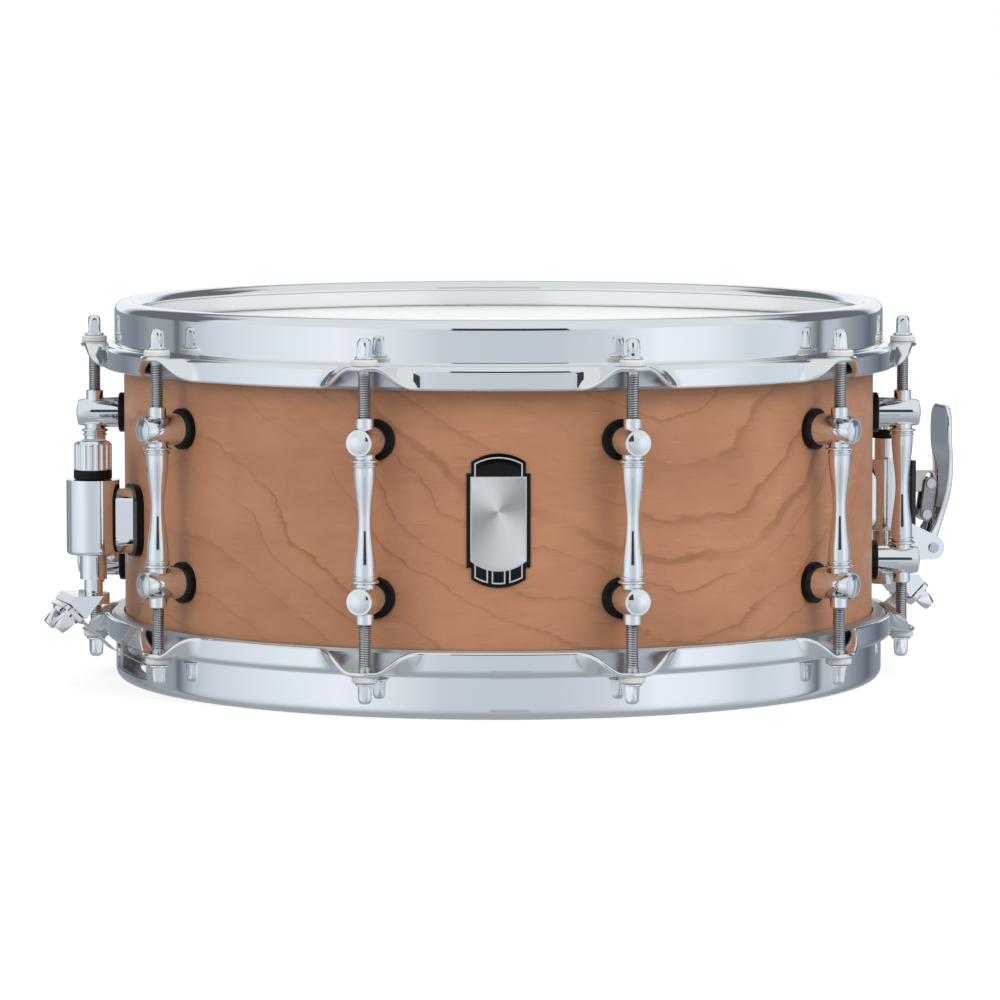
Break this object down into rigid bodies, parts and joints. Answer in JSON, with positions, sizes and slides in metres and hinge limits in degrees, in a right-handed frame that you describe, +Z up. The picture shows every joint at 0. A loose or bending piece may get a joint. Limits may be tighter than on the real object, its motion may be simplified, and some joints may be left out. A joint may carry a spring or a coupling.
{
  "type": "snare drum",
  "caption": "Wood-shell snare drum with flanged steel hoops, two heads, turned tube lugs, coiled wires, a lever throw-off and a butt end.",
  "frame": {"origin": "on the drum's axis, in the plane of the snare-side hoop's crest that the drum rests on", "axes": "+Z up along the drum's axis to the batter head, +X from the butt to the throw-off along the snare wires"},
  "size_m": [0.4509, 0.402, 0.1784],
  "materials": {
    "shell_wood": "natural satin lacquer over cherry veneer",
    "chrome": "polished chrome plate",
    "rod_steel": "plated threaded steel",
    "flesh_aluminium": "extruded aluminium",
    "coated_film": "white sprayed coating on polyester film",
    "clear_film": "clear polyester film",
    "rubber_black": "moulded black rubber",
    "plastic_black": "moulded black acetal",
    "nylon_cream": "natural nylon",
    "badge_enamel": "black enamel with a plain bright field",
    "link_steel": "grey phosphated steel",
    "yoke_brass": "nickel-washed brass",
    "wire_steel": "coiled steel wire",
    "plate_brass": "brass end plates",
    "strap_film": "translucent polyester strap"
  },
  "bodies": {
    "drum": {"shell": "shell_wood", "vent_grommet": "chrome", "badge_plate": "badge_enamel", "batter_head": "coated_film", "batter_flesh_hoop": "flesh_aluminium", "batter_hoop": "chrome", "snare_side_head": "clear_film", "snare_side_flesh_hoop": "flesh_aluminium", "snare_side_hoop": "chrome", "tube_lugs": "chrome", "lug_gaskets": "rubber_black", "lug_screws": "rod_steel", "rod_washers": "nylon_cream", "strainer_housing": "chrome", "strainer_gasket": "rubber_black", "strainer_bracket": "chrome", "strainer_guide": "plastic_black", "lever_pin": "rod_steel", "anchor_screws": "rod_steel", "butt_housing": "chrome", "butt_gasket": "rubber_black", "snare_wires": "wire_steel", "snare_end_plates": "plate_brass", "butt_strap": "strap_film", "strainer_strap": "strap_film"},
    "strainer_piston": {"strainer_piston": "chrome", "strainer_yoke": "yoke_brass"},
    "strainer_clamp": {"strainer_hanger": "chrome", "strainer_clamp_plate": "chrome", "strainer_clamp_screws": "chrome"},
    "strainer_knob": {"strainer_knob": "chrome", "strainer_knob_ring": "rubber_black"},
    "throw_lever": {"throw_lever": "chrome"},
    "strainer_links": {"strainer_links": "link_steel", "link_pins": "rod_steel"},
    "butt_clamp": {"butt_hanger": "chrome", "butt_clamp_plate": "chrome", "butt_clamp_screws": "chrome"},
    "butt_knob": {"butt_knob": "chrome", "butt_knob_ring": "rubber_black"},
    "batter_rod_01": {"batter_rod_01": "rod_steel"},
    "batter_rod_02": {"batter_rod_02": "rod_steel"},
    "batter_rod_03": {"batter_rod_03": "rod_steel"},
    "batter_rod_04": {"batter_rod_04": "rod_steel"},
    "batter_rod_05": {"batter_rod_05": "rod_steel"},
    "batter_rod_06": {"batter_rod_06": "rod_steel"},
    "batter_rod_07": {"batter_rod_07": "rod_steel"},
    "batter_rod_08": {"batter_rod_08": "rod_steel"},
    "batter_rod_09": {"batter_rod_09": "rod_steel"},
    "batter_rod_10": {"batter_rod_10": "rod_steel"},
    "snare_rod_01": {"snare_rod_01": "rod_steel"},
    "snare_rod_02": {"snare_rod_02": "rod_steel"},
    "snare_rod_03": {"snare_rod_03": "rod_steel"},
    "snare_rod_04": {"snare_rod_04": "rod_steel"},
    "snare_rod_05": {"snare_rod_05": "rod_steel"},
    "snare_rod_06": {"snare_rod_06": "rod_steel"},
    "snare_rod_07": {"snare_rod_07": "rod_steel"},
    "snare_rod_08": {"snare_rod_08": "rod_steel"},
    "snare_rod_09": {"snare_rod_09": "rod_steel"},
    "snare_rod_10": {"snare_rod_10": "rod_steel"}
  },
  "joints": [
    {"name": "throw_lever_swing", "type": "hinge", "parent": "drum", "child": "throw_lever", "pos_m": [0.2197, 0, 0.0539], "axis": [0, 1, 0], "range_deg": [0, 53.34]},
    {"name": "link_swing", "type": "hinge", "parent": "throw_lever", "child": "strainer_links", "pos_m": [0.2188, 0, 0.0696], "axis": [0, 1, 0], "range_deg": [-106.67, 0]},
    {"name": "strainer_slide", "type": "slide", "parent": "drum", "child": "strainer_piston", "axis": [0, 0, -1], "range_m": [0, 0.01], "deforming": ["strainer_strap"]},
    {"name": "strainer_knob_turn", "type": "hinge", "parent": "strainer_piston", "child": "strainer_knob", "pos_m": [0.1985, 0, 0.0892], "axis": [0, 0, 1], "range_deg": [-540, 540]},
    {"name": "strainer_clamp_slide", "type": "slide", "parent": "strainer_piston", "child": "strainer_clamp", "axis": [0, 0, 1], "range_m": [-0.0015, 0.0015]},
    {"name": "butt_knob_turn", "type": "hinge", "parent": "drum", "child": "butt_knob", "pos_m": [-0.1985, 0, 0.0892], "axis": [0, 0, 1], "range_deg": [-540, 540]},
    {"name": "butt_clamp_slide", "type": "slide", "parent": "drum", "child": "butt_clamp", "axis": [0, 0, 1], "range_m": [-0.0015, 0.0015], "deforming": ["butt_strap"]},
    {"name": "batter_rod_01_turn", "type": "hinge", "parent": "drum", "child": "batter_rod_01", "pos_m": [0.18279, 0.05939, 0.0892], "axis": [0, 0, 1], "range_deg": [-360, 360]},
    {"name": "batter_rod_02_turn", "type": "hinge", "parent": "drum", "child": "batter_rod_02", "pos_m": [0.11297, 0.15549, 0.0892], "axis": [0, 0, 1], "range_deg": [-360, 360]},
    {"name": "batter_rod_03_turn", "type": "hinge", "parent": "drum", "child": "batter_rod_03", "pos_m": [0, 0.1922, 0.0892], "axis": [0, 0, 1], "range_deg": [-360, 360]},
    {"name": "batter_rod_04_turn", "type": "hinge", "parent": "drum", "child": "batter_rod_04", "pos_m": [-0.11297, 0.15549, 0.0892], "axis": [0, 0, 1], "range_deg": [-360, 360]},
    {"name": "batter_rod_05_turn", "type": "hinge", "parent": "drum", "child": "batter_rod_05", "pos_m": [-0.18279, 0.05939, 0.0892], "axis": [0, 0, 1], "range_deg": [-360, 360]},
    {"name": "batter_rod_06_turn", "type": "hinge", "parent": "drum", "child": "batter_rod_06", "pos_m": [-0.18279, -0.05939, 0.0892], "axis": [0, 0, 1], "range_deg": [-360, 360]},
    {"name": "batter_rod_07_turn", "type": "hinge", "parent": "drum", "child": "batter_rod_07", "pos_m": [-0.11297, -0.15549, 0.0892], "axis": [0, 0, 1], "range_deg": [-360, 360]},
    {"name": "batter_rod_08_turn", "type": "hinge", "parent": "drum", "child": "batter_rod_08", "pos_m": [0, -0.1922, 0.0892], "axis": [0, 0, 1], "range_deg": [-360, 360]},
    {"name": "batter_rod_09_turn", "type": "hinge", "parent": "drum", "child": "batter_rod_09", "pos_m": [0.11297, -0.15549, 0.0892], "axis": [0, 0, 1], "range_deg": [-360, 360]},
    {"name": "batter_rod_10_turn", "type": "hinge", "parent": "drum", "child": "batter_rod_10", "pos_m": [0.18279, -0.05939, 0.0892], "axis": [0, 0, 1], "range_deg": [-360, 360]},
    {"name": "snare_rod_01_turn", "type": "hinge", "parent": "drum", "child": "snare_rod_01", "pos_m": [0.18279, 0.05939, 0.0892], "axis": [0, 0, 1], "range_deg": [-360, 360]},
    {"name": "snare_rod_02_turn", "type": "hinge", "parent": "drum", "child": "snare_rod_02", "pos_m": [0.11297, 0.15549, 0.0892], "axis": [0, 0, 1], "range_deg": [-360, 360]},
    {"name": "snare_rod_03_turn", "type": "hinge", "parent": "drum", "child": "snare_rod_03", "pos_m": [0, 0.1922, 0.0892], "axis": [0, 0, 1], "range_deg": [-360, 360]},
    {"name": "snare_rod_04_turn", "type": "hinge", "parent": "drum", "child": "snare_rod_04", "pos_m": [-0.11297, 0.15549, 0.0892], "axis": [0, 0, 1], "range_deg": [-360, 360]},
    {"name": "snare_rod_05_turn", "type": "hinge", "parent": "drum", "child": "snare_rod_05", "pos_m": [-0.18279, 0.05939, 0.0892], "axis": [0, 0, 1], "range_deg": [-360, 360]},
    {"name": "snare_rod_06_turn", "type": "hinge", "parent": "drum", "child": "snare_rod_06", "pos_m": [-0.18279, -0.05939, 0.0892], "axis": [0, 0, 1], "range_deg": [-360, 360]},
    {"name": "snare_rod_07_turn", "type": "hinge", "parent": "drum", "child": "snare_rod_07", "pos_m": [-0.11297, -0.15549, 0.0892], "axis": [0, 0, 1], "range_deg": [-360, 360]},
    {"name": "snare_rod_08_turn", "type": "hinge", "parent": "drum", "child": "snare_rod_08", "pos_m": [0, -0.1922, 0.0892], "axis": [0, 0, 1], "range_deg": [-360, 360]},
    {"name": "snare_rod_09_turn", "type": "hinge", "parent": "drum", "child": "snare_rod_09", "pos_m": [0.11297, -0.15549, 0.0892], "axis": [0, 0, 1], "range_deg": [-360, 360]},
    {"name": "snare_rod_10_turn", "type": "hinge", "parent": "drum", "child": "snare_rod_10", "pos_m": [0.18279, -0.05939, 0.0892], "axis": [0, 0, 1], "range_deg": [-360, 360]}
  ],
  "couplings": [
    {"joint": "link_swing", "follows": "throw_lever_swing", "ratio": -1.9998},
    {"joint": "strainer_slide", "follows": "throw_lever_swing", "m_per_rad": 0.010742},
    {"joint": "strainer_knob_turn", "follows": "strainer_clamp_slide", "rad_per_m": -6283.2},
    {"joint": "butt_knob_turn", "follows": "butt_clamp_slide", "rad_per_m": -6283.2}
  ]
}
